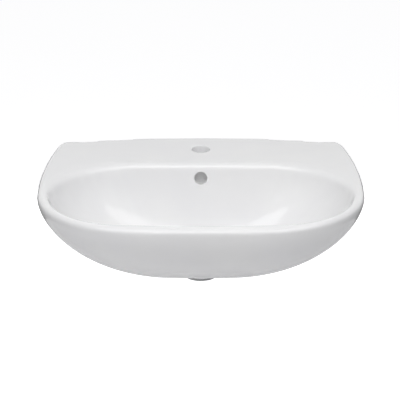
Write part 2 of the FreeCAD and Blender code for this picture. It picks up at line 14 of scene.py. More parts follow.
import bmesh
import bpy
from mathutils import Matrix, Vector

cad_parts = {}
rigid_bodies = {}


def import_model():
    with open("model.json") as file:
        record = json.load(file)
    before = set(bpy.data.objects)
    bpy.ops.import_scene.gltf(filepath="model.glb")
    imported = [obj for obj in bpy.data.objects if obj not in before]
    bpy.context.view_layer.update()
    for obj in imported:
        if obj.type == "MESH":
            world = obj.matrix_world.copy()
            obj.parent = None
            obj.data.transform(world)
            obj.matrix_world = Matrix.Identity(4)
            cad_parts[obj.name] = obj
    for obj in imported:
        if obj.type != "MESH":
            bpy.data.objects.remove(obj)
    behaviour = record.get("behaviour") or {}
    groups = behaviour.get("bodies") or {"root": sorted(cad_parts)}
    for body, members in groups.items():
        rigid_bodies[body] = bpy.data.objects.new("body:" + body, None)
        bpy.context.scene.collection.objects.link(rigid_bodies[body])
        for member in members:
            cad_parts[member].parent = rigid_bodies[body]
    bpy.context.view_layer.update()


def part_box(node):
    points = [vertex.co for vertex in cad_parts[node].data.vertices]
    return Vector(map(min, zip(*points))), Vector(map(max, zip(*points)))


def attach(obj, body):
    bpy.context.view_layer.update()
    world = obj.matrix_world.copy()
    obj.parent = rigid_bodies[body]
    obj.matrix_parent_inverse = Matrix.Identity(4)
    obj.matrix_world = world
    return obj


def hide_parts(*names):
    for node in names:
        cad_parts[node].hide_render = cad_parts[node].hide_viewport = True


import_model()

MM = 0.001
china_low, china_high = (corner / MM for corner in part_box("basin_body"))
print("china in mm:", [round(v, 1) for v in china_low], [round(v, 1) for v in china_high])

# %% [markdown]
# ## Small helpers
# An operator works on whatever is selected, so each step starts by selecting one thing only. A
# cutting tool is used once and then thrown away.

# %% Select one object, apply a modifier, cut or weld
def only(piece):
    """Selects one object and nothing else."""
    bpy.ops.object.select_all(action="DESELECT")
    piece.select_set(True)
    bpy.context.view_layer.objects.active = piece


def apply_modifier(piece, kind, **settings):
    """Adds a modifier with its settings and applies it at once."""
    only(piece)
    modifier = piece.modifiers.new(kind.title(), kind)
    for name, value in settings.items():
        setattr(modifier, name, value)
    bpy.ops.object.modifier_apply(modifier=modifier.name)


def combine(piece, tool, operation):
    """Cuts a tool out of a piece or welds it on, and throws the tool away."""
    apply_modifier(piece, "BOOLEAN", operation=operation, object=tool, solver="EXACT")
    bpy.data.objects.remove(tool, do_unlink=True)


# %% [markdown]
# ## A skin made of rings
# Most pieces here are a stack of closed rings. The mesh could be typed out, but the way it is done
# by hand is to start from a circle and extrude it again and again, setting each new ring in its
# place. Every vertex keeps its number round the ring, and extruding copies that number, so the new
# ring knows where each of its points goes.

# %% Extrude a circle through a list of rings
WELD = 0.01 * MM


def put_ring(data, ring):
    """Moves the selected ring of vertices to the points of a ring, given in millimetres."""
    mesh = bmesh.from_edit_mesh(data)
    number = mesh.verts.layers.int["number"]
    for vertex in mesh.verts:
        if vertex.select:
            vertex.co = Vector(ring[vertex[number]]) * MM
    bmesh.update_edit_mesh(data)


def extrude_rings(name, rings, closed=False):
    """A skin through the rings: capped at both ends, or closed where the last ring is the first."""
    bpy.ops.object.select_all(action="DESELECT")
    bpy.ops.mesh.primitive_circle_add(vertices=len(rings[0]), radius=1.0)
    piece = bpy.context.active_object
    piece.name = piece.data.name = name
    bpy.ops.object.mode_set(mode="EDIT")
    bpy.ops.mesh.select_mode(type="VERT")
    mesh = bmesh.from_edit_mesh(piece.data)
    number = mesh.verts.layers.int.new("number")
    for index, vertex in enumerate(mesh.verts):
        vertex[number] = index
    put_ring(piece.data, rings[0])
    for ring in rings[1:]:
        bpy.ops.mesh.extrude_edges_move()
        put_ring(piece.data, ring)
    if closed:
        bpy.ops.mesh.select_all(action="SELECT")
        bpy.ops.mesh.remove_doubles(threshold=WELD)
    else:
        bpy.ops.mesh.select_all(action="DESELECT")
        bpy.ops.mesh.select_non_manifold()
        bpy.ops.mesh.edge_face_add()
    bpy.ops.mesh.select_all(action="SELECT")
    bpy.ops.mesh.normals_make_consistent(inside=False)
    bpy.ops.object.mode_set(mode="OBJECT")
    print(name, len(piece.data.polygons), "faces")
    return piece


# %% [markdown]
# ## The plans of the china
# Seen from above, the rim, the bowl, the bowl's floor and the underside are each a closed line of
# tangent arcs: a straight rear, two rear corners, long flat sides, two front corners and a nearly
# straight front. Eight values describe each plan, and any level between two plans is a mix of them.

# %% Four plans, in millimetres
Plan = namedtuple("Plan", "half_width wide_y side_r corner_r front_y front_r rear_y rear_r")

RIM_Z = 70.0
HALF_WIDTH = (china_high.x - china_low.x) / 2
FRONT_Y = china_low.y
BEYOND_WALL = 12.0
SIDE_LAND, FRONT_LAND, REAR_LAND = 22.0, 27.0, 135.0

rim_plan = Plan(
    half_width=HALF_WIDTH, wide_y=-207.0, side_r=1140.0, corner_r=197.0,
    front_y=FRONT_Y, front_r=1925.0, rear_y=BEYOND_WALL, rear_r=40.0)
underside_plan = Plan(
    half_width=116.0, wide_y=-227.0, side_r=493.0, corner_r=92.0,
    front_y=-284.0, front_r=748.0, rear_y=BEYOND_WALL, rear_r=40.0)
bowl_plan = Plan(
    half_width=HALF_WIDTH - SIDE_LAND, wide_y=-262.0, side_r=275.0, corner_r=148.0,
    front_y=FRONT_Y + FRONT_LAND, front_r=2080.0, rear_y=-REAR_LAND, rear_r=150.0)
floor_plan = Plan(
    half_width=107.0, wide_y=-231.5, side_r=160.0, corner_r=46.0,
    front_y=-285.0, front_r=600.0, rear_y=-178.0, rear_r=46.0)

# %% [markdown]
# An arc is only known by where it touches its neighbours. The centre of a corner arc lies one corner
# radius inside both the side's arc and the front's, so it is where two circles cross.

# %% Walk once round a plan
REAR_STEPS, REAR_CORNER_STEPS, SIDE_STEPS, CORNER_STEPS, FRONT_STEPS = 14, 10, 22, 24, 16


def crossing(centre_a, reach_a, centre_b, reach_b):
    """Where two circles cross, on the right."""
    across = centre_b - centre_a
    gap = across.length
    along = (reach_a**2 - reach_b**2 + gap**2) / (2 * gap)
    aside = math.sqrt(reach_a**2 - along**2)
    unit = across / gap
    foot = centre_a + unit * along
    side = Vector((unit.y, -unit.x)) * aside
    return max(foot + side, foot - side, key=lambda point: point.x)


def along_arc(centre, radius, start, end, steps):
    """Points from the start of an arc towards its end, without the end."""
    first = math.atan2(start.y - centre.y, start.x - centre.x)
    last = math.atan2(end.y - centre.y, end.x - centre.x)
    turn = (last - first + math.pi) % (2 * math.pi) - math.pi
    angles = [first + turn * step / steps for step in range(steps)]
    return [centre + Vector((math.cos(a), math.sin(a))) * radius for a in angles]


def plan_ring(plan, z):
    """A plan as a ring of points, which starts at the middle of the rear and runs to the right."""
    side = Vector((plan.half_width - plan.side_r, plan.wide_y))
    front = Vector((0, plan.front_y + plan.front_r))
    corner = crossing(side, plan.side_r - plan.corner_r, front, plan.front_r - plan.corner_r)
    rear_y = plan.rear_y - plan.rear_r
    reach = plan.side_r - plan.rear_r
    rear = Vector((side.x + math.sqrt(reach**2 - (rear_y - side.y) ** 2), rear_y))
    rear_end = Vector((rear.x, plan.rear_y))
    side_start = rear + (rear - side).normalized() * plan.rear_r
    side_end = corner + (corner - side).normalized() * plan.corner_r
    front_start = corner + (corner - front).normalized() * plan.corner_r
    front_middle = Vector((0, plan.front_y))
    right = [Vector((rear_end.x * step / REAR_STEPS, plan.rear_y)) for step in range(REAR_STEPS)]
    right += along_arc(rear, plan.rear_r, rear_end, side_start, REAR_CORNER_STEPS)
    right += along_arc(side, plan.side_r, side_start, side_end, SIDE_STEPS)
    right += along_arc(corner, plan.corner_r, side_end, front_start, CORNER_STEPS)
    right += along_arc(front, plan.front_r, front_start, front_middle, FRONT_STEPS)
    left = [Vector((-point.x, point.y)) for point in reversed(right[1:])]
    return [(point.x, point.y, z) for point in right + [front_middle] + left]


def grown(plan, amount):
    """The plan with every edge moved out by an amount."""
    return Plan(
        plan.half_width + amount, plan.wide_y, plan.side_r + amount, plan.corner_r + amount,
        plan.front_y - amount, plan.front_r + amount, plan.rear_y + amount, plan.rear_r + amount)


def mixed(low, high, share, front_share):
    """A plan between a low and a high one, whose front has a share of its own."""
    plan = Plan(*[a + (b - a) * share for a, b in zip(low, high)])
    return plan._replace(front_y=low.front_y + (high.front_y - low.front_y) * front_share)


print("points in a ring:", len(plan_ring(rim_plan, RIM_Z)))

# %% [markdown]
# ## Full sides
# Between the rim and the underside the sides swell out like a hanging drop. A superellipse gives
# that profile: at exponent 2 it would be a quarter ellipse, and at 1.6 it is a little leaner. The
# front fills out sooner than the sides. The bowl's wall follows the same law, so that the china
# between them keeps an even thickness, as a cast piece does.

# %% Rings of a full side
FULLNESS = 1.6
FRONT_FULLNESS = 0.87


def quarter(steps):
    """Evenly spaced angles from 0 to 90 degrees."""
    return [math.pi / 2 * step / steps for step in range(steps + 1)]


def side_plan(low, high, angle):
    """The plan at an angle of 0 at the top of a full side and 90 degrees at its bottom."""
    share = math.cos(angle) ** (2 / FULLNESS)
    return mixed(low, high, share, share**FRONT_FULLNESS)


def side_rings(low, high, top_z, bottom_z, steps):
    """Rings down a full side, from the high plan at its top to the low plan at its bottom."""
    rings = []
    for step, angle in enumerate(quarter(steps)):
        drop = math.sin(angle) ** (2 / FULLNESS)
        plan = side_plan(low, high, angle) if step < steps else low
        rings.append(plan_ring(plan, top_z + (bottom_z - top_z) * drop))
    return rings


def edge_rings(plan, radius, outward, rear_width, corner_pull, steps):
    """Rings of a rounded rim edge, from the rim's plane down to the edge's foot.

    The edge is wider along the rear line, and a corner pull widens it round the rear corners too,
    because a tighter corner reaches further out.
    """
    rings = []
    for angle in quarter(steps):
        roll = 1 - math.sin(angle)
        level = grown(plan, outward * radius * roll)
        rear_y = plan.rear_y + outward * rear_width * roll
        level = level._replace(rear_y=rear_y, rear_r=level.rear_r - corner_pull * roll)
        rings.append(plan_ring(level, RIM_Z - radius * (1 - math.cos(angle))))
    return rings


# %% [markdown]
# ## The deck
# The land between rim and bowl is flat at the front and sides, and behind the bowl it widens into
# the deck, which arches up by a centimetre towards the wall and is dished a little on its way there.
# The arch is added to the height of each point, faded in softly so that no crease shows, and the
# wall edge is rounded over.

# %% Height of the deck's arch
CROWN, CROWN_HALF_WIDTH, CROWN_START_Y = 10.0, 258.0, -118.0
CROWN_FADE, DISH = 1.6, 1.6
WALL_EDGE_RADIUS = 4.0
NEAR_WALL_ROWS = [0.0, -0.4, -1.3, -2.5, -4.0, -7.0, -12.0, -20.0]
DECK_ROWS = [-30.0 - 12.0 * row for row in range(7)]


def crown(x, y):
    """Height of the arch: full at the wall's middle, gone at its ends and towards the bowl."""
    rise = max(1 - y / CROWN_START_Y, 0.0) ** DISH
    height = CROWN * rise - CROWN * (x / CROWN_HALF_WIDTH) ** 2
    if height < -CROWN_FADE:
        return 0.0
    if height < CROWN_FADE:
        return (height + CROWN_FADE) ** 2 / (4 * CROWN_FADE)
    return height


def wall_edge_fall(y):
    """How far the rounded wall edge lies below the deck."""
    over = min(max(y + WALL_EDGE_RADIUS, 0.0), WALL_EDGE_RADIUS)
    return WALL_EDGE_RADIUS - math.sqrt(WALL_EDGE_RADIUS**2 - over**2)


def land_rings(outer, inner):
    """Rings from the rim's inner edge to the bowl's outer one, close together by the wall."""
    outer_y, inner_y = outer[0][1], inner[0][1]
    rings = []
    for y in NEAR_WALL_ROWS + DECK_ROWS:
        share = (outer_y - y) / (outer_y - inner_y)
        ring = [Vector(a).lerp(Vector(b), share) for a, b in zip(outer, inner)]
        rings.append([(p.x, p.y, p.z + crown(p.x, p.y) - wall_edge_fall(p.y)) for p in ring])
    return rings


# %% [markdown]
# ## One skin for the whole casting
# The rings start at the lower mouth of the outlet, run out over the end of its boss and up the
# outside, over the rim, down the bowl and back through the outlet's bore to where they began. So the
# skin is closed without any cap.

# %% The outlet's own rings
OUTLET_Y = -237.0
BORE_R, BOSS_R, SEAT_R, DISH_R = 23.0, 35.0, 32.5, 49.0
BOSS_FILLET, BOSS_EDGE = 14.0, 5.0
OUTLET_END_Z = china_low.z
UNDERSIDE_Z, FLOOR_Z = RIM_Z - 158.0, RIM_Z - 144.0
DISH_FALL, SEAT_DEPTH = 3.0, 3.0
DISH_Z = FLOOR_Z - DISH_FALL
SEAT_Z = DISH_Z - SEAT_DEPTH
RIM_EDGE, BOWL_EDGE, BOWL_REAR_EDGE, BOWL_CORNER_PULL = 8.0, 9.0, 16.0, 55.0
ROUGH_BORE_R = 18.0


def outlet_ring(radius, z):
    """A circle round the outlet, whose points face those of the bowl's floor."""
    ring = []
    for x, y, _ in plan_ring(floor_plan, z):
        way = Vector((x, y - OUTLET_Y)).normalized() * radius
        ring.append((way.x, OUTLET_Y + way.y, z))
    return ring


def blended(first, last, steps):
    """Rings between two rings, without the two."""
    rings = []
    for step in range(1, steps):
        pairs = zip(first, last)
        rings.append([tuple(Vector(a).lerp(Vector(b), step / steps)) for a, b in pairs])
    return rings


# %% All the rings, in order
BOSS_EDGE_STEPS, BOSS_FILLET_STEPS = 4, 6
OUTSIDE_STEPS, RIM_EDGE_STEPS, BOWL_EDGE_STEPS, BOWL_STEPS = 30, 6, 8, 28
UNDERSIDE_STEPS, FLOOR_STEPS, BORE_STEPS = 5, 4, 5

boss = [outlet_ring(ROUGH_BORE_R, OUTLET_END_Z)]
for angle in quarter(BOSS_EDGE_STEPS):
    reach = BOSS_R - BOSS_EDGE * (1 - math.sin(angle))
    boss.append(outlet_ring(reach, OUTLET_END_Z + BOSS_EDGE * (1 - math.cos(angle))))
for angle in quarter(BOSS_FILLET_STEPS):
    reach = BOSS_R + BOSS_FILLET * (1 - math.cos(angle))
    boss.append(outlet_ring(reach, UNDERSIDE_Z - BOSS_FILLET * (1 - math.sin(angle))))
outside = side_rings(underside_plan, rim_plan, RIM_Z - RIM_EDGE, UNDERSIDE_Z, OUTSIDE_STEPS)[::-1]
rim_edge = edge_rings(rim_plan, RIM_EDGE, -1, 0.0, 0.0, RIM_EDGE_STEPS)[::-1]
bowl_edge = edge_rings(bowl_plan, BOWL_EDGE, 1, BOWL_REAR_EDGE, BOWL_CORNER_PULL, BOWL_EDGE_STEPS)
land = land_rings(rim_edge[-1], bowl_edge[0])
bowl = side_rings(floor_plan, bowl_plan, RIM_Z - BOWL_EDGE, FLOOR_Z, BOWL_STEPS)
outlet = [outlet_ring(DISH_R, FLOOR_Z), outlet_ring(SEAT_R, DISH_Z)]
outlet.append(outlet_ring(ROUGH_BORE_R, DISH_Z))

rings = boss + blended(boss[-1], outside[0], UNDERSIDE_STEPS) + outside
rings += rim_edge[1:] + land + bowl_edge + bowl[1:]
rings += blended(bowl[-1], outlet[0], FLOOR_STEPS) + outlet
rings += blended(outlet[-1], boss[0], BORE_STEPS) + [boss[0]]
china = extrude_rings("china", rings, closed=True)

# %% [markdown]
# ## Flat against the wall
# The plans run a little past the wall. Bisecting the skin at the wall's plane and filling the cut
# gives the flat back that the real piece is ground to.

# %% Bisect at the wall
only(china)
bpy.ops.object.mode_set(mode="EDIT")
bpy.ops.mesh.select_all(action="SELECT")
bpy.ops.mesh.bisect(plane_co=(0, 0, 0), plane_no=(0, 1, 0), use_fill=True, clear_outer=True)
bpy.ops.object.mode_set(mode="OBJECT")

# %% [markdown]
# ## Open behind and below
# Behind the bowl the casting is open below: a wall plate, two skirts and the back of the bowl stand
# round a space for the tap's nut, the pipes and the hands that tighten the fixings. The space is
# made as its own stack of rings and cut out. So are the rising line under the skirts and the notch
# for the pipes.

# %% The space behind the bowl
PLATE, WALL, DECK_THICKNESS = 18.0, 13.0, 14.0
SHOULDER_TOP, SHOULDER_BOTTOM = 60.0, 6.0
ARC_STEPS, SPACE_LEVELS = 12, 12
CUT_PAST = 5.0


def half_width_at(plan, y):
    """Half the width of a plan where its side is an arc."""
    side_x = plan.half_width - plan.side_r
    return side_x + math.sqrt(plan.side_r**2 - (y - plan.wide_y) ** 2)


def level_plan(low, high, top_z, bottom_z, z):
    """The plan of a full side at a height."""
    drop = min(max((top_z - z) / (top_z - bottom_z), 0.0), 1.0)
    return side_plan(low, high, math.asin(drop ** (FULLNESS / 2)))


def space_ring(z):
    """The outline of the space at a height: wall plate, skirts, shoulders and back of the bowl."""
    share = (RIM_Z - z) / (RIM_Z - UNDERSIDE_Z)
    skirt = level_plan(underside_plan, rim_plan, RIM_Z - RIM_EDGE, UNDERSIDE_Z, z)
    bowl_z = RIM_Z - (RIM_Z - z) * (RIM_Z - FLOOR_Z) / (RIM_Z - UNDERSIDE_Z)
    back = grown(level_plan(floor_plan, bowl_plan, RIM_Z - BOWL_EDGE, FLOOR_Z, bowl_z), WALL)
    shoulder_y = back.rear_y - SHOULDER_TOP - (SHOULDER_BOTTOM - SHOULDER_TOP) * share
    reach = back.side_r - back.rear_r
    centre_y = back.rear_y - back.rear_r
    side_x = back.half_width - back.side_r
    centre = Vector((side_x + math.sqrt(reach**2 - (centre_y - back.wide_y) ** 2), centre_y))
    inner = Vector((centre.x + math.sqrt(back.rear_r**2 - (shoulder_y - centre_y) ** 2), shoulder_y))
    middle = Vector((centre.x, back.rear_y))
    right = [
        Vector((0, -PLATE)), Vector((half_width_at(skirt, -PLATE) - WALL, -PLATE)),
        Vector((half_width_at(skirt, shoulder_y) - WALL, shoulder_y))]
    right += along_arc(centre, back.rear_r, inner, middle, ARC_STEPS) + [middle]
    left = [Vector((-point.x, point.y)) for point in reversed(right[1:])]
    return [(point.x, point.y, z) for point in right + [Vector((0, back.rear_y))] + left]


space_top = RIM_Z - DECK_THICKNESS
space_rings = []
for level in range(SPACE_LEVELS + 1):
    space_rings.append(space_ring(space_top + (UNDERSIDE_Z - space_top) * level / SPACE_LEVELS))
space_rings.append([(x, y, z - CUT_PAST) for x, y, z in space_rings[-1]])
combine(china, extrude_rings("space_cutter", space_rings), "DIFFERENCE")

# %% Cutters that run from side to side
def slab(name, profile, half_width):
    """A block whose outline is a profile of (y, z) points, run across the basin."""
    return extrude_rings(name, [[(x, y, z) for y, z in profile] for x in (-half_width, half_width)])


def block(name, size, place):
    """A cube stretched to a size and set at a place, both in millimetres."""
    bpy.ops.object.select_all(action="DESELECT")
    bpy.ops.mesh.primitive_cube_add(size=1.0)
    piece = bpy.context.active_object
    piece.name = piece.data.name = name
    piece.scale = [length * MM for length in size]
    piece.location = [offset * MM for offset in place]
    bpy.ops.object.transform_apply(location=True, rotation=True, scale=True)
    return piece


PLATE_END_Z, SKIRT_END_Y, SKIRT_SAG, SKIRT_STEPS = RIM_Z - 112.0, -153.0, 16.0, 16
CUTTER_HALF_WIDTH = 310.0
below = UNDERSIDE_Z - CUT_PAST
skirt_line = []
for step in range(SKIRT_STEPS + 1):
    share = step / SKIRT_STEPS
    straight = Vector((-PLATE, PLATE_END_Z)).lerp(Vector((SKIRT_END_Y, UNDERSIDE_Z)), share)
    skirt_line.append((straight.x, straight.y + SKIRT_SAG * 4 * share * (1 - share)))
skirts = [(CUT_PAST, below), (CUT_PAST, PLATE_END_Z)] + skirt_line + [(SKIRT_END_Y, below)]
combine(china, slab("skirt_cutter", skirts, CUTTER_HALF_WIDTH), "DIFFERENCE")

# %% [markdown]
# The notch starts as a cube. Its two upper edges are bevelled round, and then it is cut out.

# %% The notch for the pipes
NOTCH_HALF_WIDTH, NOTCH_TOP_Z, NOTCH_RADIUS = 75.0, RIM_Z - 82.0, 20.0
NOTCH_DEPTH, NOTCH_HEIGHT, NOTCH_Y, NOTCH_STEPS = 50.0, 80.0, -10.0, 8

notch_size = (2 * NOTCH_HALF_WIDTH, NOTCH_DEPTH, NOTCH_HEIGHT)
notch = block("notch_cutter", notch_size, (0.0, NOTCH_Y, NOTCH_TOP_Z - NOTCH_HEIGHT / 2))
bpy.ops.object.mode_set(mode="EDIT")
bpy.ops.mesh.select_all(action="DESELECT")
bpy.ops.mesh.select_mode(type="EDGE")
notch_mesh = bmesh.from_edit_mesh(notch.data)
for edge in notch_mesh.edges:
    a, b = (vertex.co / MM for vertex in edge.verts)
    runs_back = abs(a.y - b.y) > NOTCH_DEPTH / 2
    edge.select = runs_back and a.z > NOTCH_TOP_Z - 1.0
bmesh.update_edit_mesh(notch.data)
bpy.ops.mesh.bevel(offset=NOTCH_RADIUS * MM, segments=NOTCH_STEPS)
bpy.ops.object.mode_set(mode="OBJECT")
combine(china, notch, "DIFFERENCE")

# %% [markdown]
# ## The overflow
# In the real casting a flat duct comes down behind the bowl from the overflow hole, bends forward
# under it and opens into the outlet's bore. From outside only its housing shows, a thick band down
# the back of the bowl, so the housing alone is welded on and stays solid: the remesh that follows
# would fill a closed hollow anyway. The overflow hole, punched later, ends in the housing.

# %% The duct's line, and its housing as a block along it
DUCT_WIDTH, DUCT_GAP, DUCT_WALL = 56.0, 12.0, 8.0
DUCT_SLOPE, DUCT_BEND_R, BEND_STEPS = math.radians(9.0), 40.0, 8
DUCT_START = Vector((bowl_plan.rear_y + WALL + DUCT_GAP / 2, RIM_Z - 16.0))
DUCT_DOWN = Vector((-math.sin(DUCT_SLOPE), -math.cos(DUCT_SLOPE)))
PORT_Z, SHORT_OF_BORE = RIM_Z - 167.0, 6.0


def duct_profile(thickness, start_z, end_y):
    """The outline of a block along the duct, down, round the bend and forward, in (y, z) points."""
    aside = Vector((-DUCT_DOWN.y, DUCT_DOWN.x)) * (thickness / 2)
    start = DUCT_START + DUCT_DOWN * ((DUCT_START.y - start_z) / -DUCT_DOWN.y)
    meeting = DUCT_START + DUCT_DOWN * ((DUCT_START.y - PORT_Z) / -DUCT_DOWN.y)
    bend = math.pi / 2 - DUCT_SLOPE
    centre = Vector((meeting.x - DUCT_BEND_R * math.tan(bend / 2), PORT_Z + DUCT_BEND_R))
    turns = [math.pi * 1.5 + bend * step / BEND_STEPS for step in range(BEND_STEPS + 1)]
    ways = [Vector((math.cos(turn), math.sin(turn))) for turn in turns]
    outer = [centre + way * (DUCT_BEND_R + thickness / 2) for way in ways]
    inner = [centre + way * (DUCT_BEND_R - thickness / 2) for way in ways]
    line = [start + aside] + outer[::-1] + [Vector((end_y, PORT_Z - thickness / 2))]
    line += [Vector((end_y, PORT_Z + thickness / 2))] + inner + [start - aside]
    return [(point.x, point.y) for point in line]


housing_end_y = OUTLET_Y + BORE_R + SHORT_OF_BORE
housing = duct_profile(DUCT_GAP + 2 * DUCT_WALL, RIM_Z - DECK_THICKNESS / 2, housing_end_y)
combine(china, slab("duct_housing", housing, DUCT_WIDTH / 2 + DUCT_WALL), "UNION")

# %% [markdown]
# ## Soft edges everywhere
# Slip is cast in plaster, sponged by hand and then flooded with glaze, so no edge of the real piece
# is sharp. Bevelling each edge by name would miss the ones the cuts made. A voxel remesh gives the
# whole skin one even net, and a few rounds of smoothing then pull every edge round alike.

# %% One even net, smoothed
VOXEL = 3.65 * MM
SOFTENING, HALFWAY = 6, 0.5
apply_modifier(china, "REMESH", mode="VOXEL", voxel_size=VOXEL, use_smooth_shade=True)
apply_modifier(china, "SMOOTH", factor=HALFWAY, iterations=SOFTENING)
print("china:", len(china.data.polygons), "faces")

# %% [markdown]
# An even net leaves two lines rough: the lip where the space behind the bowl comes out through the
# rounded underside, and the foot of the bowl's rounded edge. A caster runs a wet sponge along both.
# Here the edges of the net that lie there are picked out by their place, and on the lip by their
# angle too, and their points are smoothed many times.

# %% A sponge
def sponge(name, is_rough, neighbours, rounds):
    """Smooths the points of the edges that a test picks, and some neighbours of theirs."""
    only(china)
    bpy.ops.object.mode_set(mode="EDIT")
    bpy.ops.mesh.select_mode(type="VERT")
    bpy.ops.mesh.select_all(action="DESELECT")
    mesh = bmesh.from_edit_mesh(china.data)
    for edge in mesh.edges:
        middle = (edge.verts[0].co + edge.verts[1].co) / 2 / MM
        if is_rough(edge, middle):
            edge.verts[0].select_set(True)
            edge.verts[1].select_set(True)
    bmesh.update_edit_mesh(china.data)
    for _ in range(neighbours):
        bpy.ops.mesh.select_more()
    print(name, sum(vertex.select for vertex in mesh.verts), "points smoothed")
    bpy.ops.mesh.vertices_smooth(factor=HALFWAY, repeat=rounds)
    bpy.ops.object.mode_set(mode="OBJECT")


# %% Sponge the lip of the space and the foot of the bowl's edge
LIP_ANGLE = math.radians(30)
LIP_TOP_Z, LIP_FRONT_Y, LIP_REAR_Y = PLATE_END_Z + 25.0, -190.0, -PLATE - 4.0
DUCT_CLEAR_X = DUCT_WIDTH / 2 + DUCT_WALL + 6.0
FOOT_TOP_Z, FOOT_BOTTOM_Z = RIM_Z - 5.0, RIM_Z - 17.0
SPACE_FRONT_Y, SPACE_CLEAR_X, DUCT_CLEAR_Y = -185.0, 275.0, -123.0


def on_lip(edge, middle):
    """Whether an edge lies on the lip of the space, beside the duct's housing."""
    in_depth = LIP_FRONT_Y < middle.y < LIP_REAR_Y
    in_reach = abs(middle.x) > DUCT_CLEAR_X and middle.z < LIP_TOP_Z
    return in_depth and in_reach and edge.calc_face_angle(0.0) > LIP_ANGLE


def on_foot(edge, middle):
    """Whether an edge lies at the foot of the bowl's rounded edge, inside the bowl."""
    if not FOOT_BOTTOM_Z < middle.z < FOOT_TOP_Z or middle.y > DUCT_CLEAR_Y:
        return False
    in_bowl = middle.y < SPACE_FRONT_Y or abs(middle.x) < SPACE_CLEAR_X
    inwards = Vector((-middle.x, OUTLET_Y - middle.y))
    return in_bowl and edge.verts[0].normal.xy.dot(inwards) > 0


sponge("lip:", on_lip, neighbours=3, rounds=40)
sponge("foot:", on_foot, neighbours=0, rounds=12)

# %% [markdown]
# ## Round holes
# The holes are punched through the leather-hard clay and have truer edges than the casting, with a
# lip of a millimetre or two. So they come after the softening. Each cutter is a punch whose end
# flares out like a trumpet, set square to the surface, and the flare leaves the lip.

# %% A flared punch
PUNCH_POINTS, FLARE_STEPS = 64, 5


def punch(name, centre, axis, radius, lip, reach):
    """A round cutter: its flared end lies on the surface at the centre, its shank reaches inwards."""
    axis = Vector(axis).normalized()
    across = axis.orthogonal().normalized()
    along = axis.cross(across)
    line = [(-reach, radius)]
    for angle in quarter(FLARE_STEPS):
        line.append((-lip * (1 - math.sin(angle)), radius + lip * (1 - math.cos(angle))))
    line.append((reach / 2, radius + lip))
    turns = [2 * math.pi * index / PUNCH_POINTS for index in range(PUNCH_POINTS)]
    rings = []
    for height, size in line:
        spots = [across * math.cos(a) * size + along * math.sin(a) * size for a in turns]
        rings.append([tuple(Vector(centre) + axis * height + spot) for spot in spots])
    return extrude_rings(name, rings)


# %% Where the holes go
FEELER = 6.0


def surface_at(start, way):
    """Where a line first meets the china, in millimetres, and the mean normal of five feelers."""
    start, way = Vector(start) * MM, Vector(way)
    aside = [Vector((0, 0, 0))]
    for spread in (way.orthogonal().normalized(), way.cross(way.orthogonal()).normalized()):
        aside += [spread * FEELER * MM, spread * -FEELER * MM]
    hits = [china.ray_cast(start + step, way) for step in aside]
    normal = sum((hit[2] for hit in hits), Vector())
    return hits[0][1] / MM, normal.normalized()


UP, INTO_WALL = (0, 0, 1), (0, 1, 0)
ABOVE_DECK_Z, IN_BOWL_Y = 200.0, -300.0
TAP_Y, TAP_R, TAP_LIP, TAP_REACH = -57.0, 17.5, 2.5, 30.0
OVERFLOW_Z, OVERFLOW_R, OVERFLOW_LIP, OVERFLOW_REACH = RIM_Z - 30.0, 12.5, 1.2, 20.0
deck_spot, deck_normal = surface_at((0, TAP_Y, ABOVE_DECK_Z), (0, 0, -1))
wall_spot, wall_normal = surface_at((0, IN_BOWL_Y, OVERFLOW_Z), INTO_WALL)
print("tap hole at", [round(v, 1) for v in deck_spot])
print("overflow at", [round(v, 1) for v in wall_spot])

# %% Punch all the holes
FIXING_X, FIXING_HOLE_R, FIXING_REACH = 140.0, 11.0, 2 * PLATE
SMALL_LIP, BORE_REACH = 1.0, 60.0
SHARP_CHINA = math.radians(60)

punches = [
    punch("tap_punch", deck_spot, deck_normal, TAP_R, TAP_LIP, TAP_REACH),
    punch("overflow_punch", wall_spot, wall_normal, OVERFLOW_R, OVERFLOW_LIP, OVERFLOW_REACH),
    punch("seat_punch", (0, OUTLET_Y, DISH_Z), UP, SEAT_R, SMALL_LIP, SEAT_DEPTH),
    punch("bore_punch", (0, OUTLET_Y, SEAT_Z), UP, BORE_R, SMALL_LIP, BORE_REACH),
]
for x in (-FIXING_X, FIXING_X):
    fixing = punch("fixing_punch", (x, 0, 0), INTO_WALL, FIXING_HOLE_R, SMALL_LIP, FIXING_REACH)
    punches.append(fixing)
for cutter in punches:
    combine(china, cutter, "DIFFERENCE")
only(china)
bpy.ops.object.shade_smooth_by_angle(angle=SHARP_CHINA)
china.data.calc_loop_triangles()
print("china with holes:", len(china.data.loop_triangles), "triangles")

# %% [markdown]
# ## Finishes
# Vitreous china is a dense white body under a clear glaze that melts to glass. The body gives a soft
# white, and the glaze a thin sharp reflection on top of it, so the material is a rough white base
# under a smooth clear coat. Nylon bushes are moulded and satin. The studs, washers and nuts are
# steel with a bright zinc plate, which mirrors a little and is faintly blue.

# %% Colours and nodes
def colour(hex_value):
    """An sRGB hex value as the linear colour that a shader wants."""
    channels = [int(hex_value[i:i + 2], 16) / 255 for i in (1, 3, 5)]
    return [c / 12.92 if c <= 0.04045 else ((c + 0.055) / 1.055) ** 2.4 for c in channels] + [1.0]


def add_node(tree, kind, links=None, **settings):
    """A node with settings on its sockets or itself, and links by a socket's name or number."""
    node = tree.nodes.new(kind)
    for name, value in settings.items():
        socket = next((s for s in node.inputs if s.name.replace(" ", "_").lower() == name), None)
        if socket is None:
            setattr(node, name, value)
        else:
            socket.default_value = value
    for name, output in (links or {}).items():
        tree.links.new(output, node.inputs[name])
    return node


def new_material(name):
    """An empty material, and its tree of nodes."""
    material = bpy.data.materials.new(name)
    material.use_nodes = True
    tree = material.node_tree
    tree.nodes.clear()
    return material, tree


